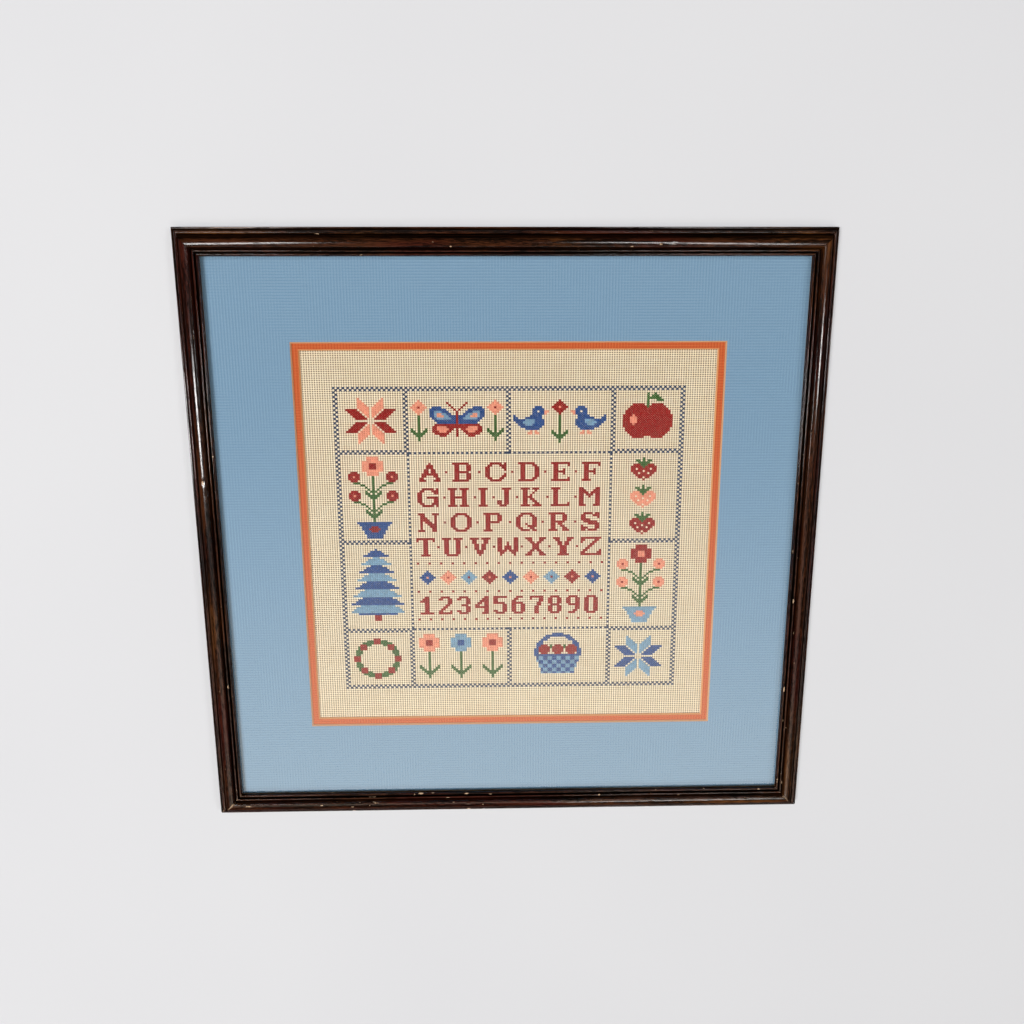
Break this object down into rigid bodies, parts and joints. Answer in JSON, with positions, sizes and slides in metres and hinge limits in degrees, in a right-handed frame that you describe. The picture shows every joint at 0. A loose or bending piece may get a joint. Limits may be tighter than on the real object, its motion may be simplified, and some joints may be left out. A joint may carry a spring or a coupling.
{
  "type": "framed cross stitch sampler",
  "caption": "Cross stitch sampler on cream cotton behind glass, with a blue and a coral window mat, in a dark mitred wood frame, lying face up.",
  "frame": {"origin": "middle of the back, level with the rails' back faces, on the surface that the picture lies on", "axes": "+X to the picture's right, +Y to its top, +Z out of its face"},
  "size_m": [0.48, 0.462, 0.02],
  "materials": {
    "frame_wood": "dark brown stain, satin lacquer, worn at the edges",
    "glass": "clear picture glass",
    "blue_mat": "matt, linen grain",
    "coral_mat": "matt, linen grain",
    "cloth": "cream block-weave cotton with open holes",
    "thread": "stranded embroidery cotton, soft sheen, in several colours",
    "backing": "plain grey-brown board"
  },
  "bodies": {
    "root": {"rail_top": "frame_wood", "rail_bottom": "frame_wood", "rail_left": "frame_wood", "rail_right": "frame_wood", "glass": "glass", "outer_mat": "blue_mat", "inner_mat": "coral_mat", "cloth": "cloth", "backing_board": "backing"}
  },
  "joints": []
}
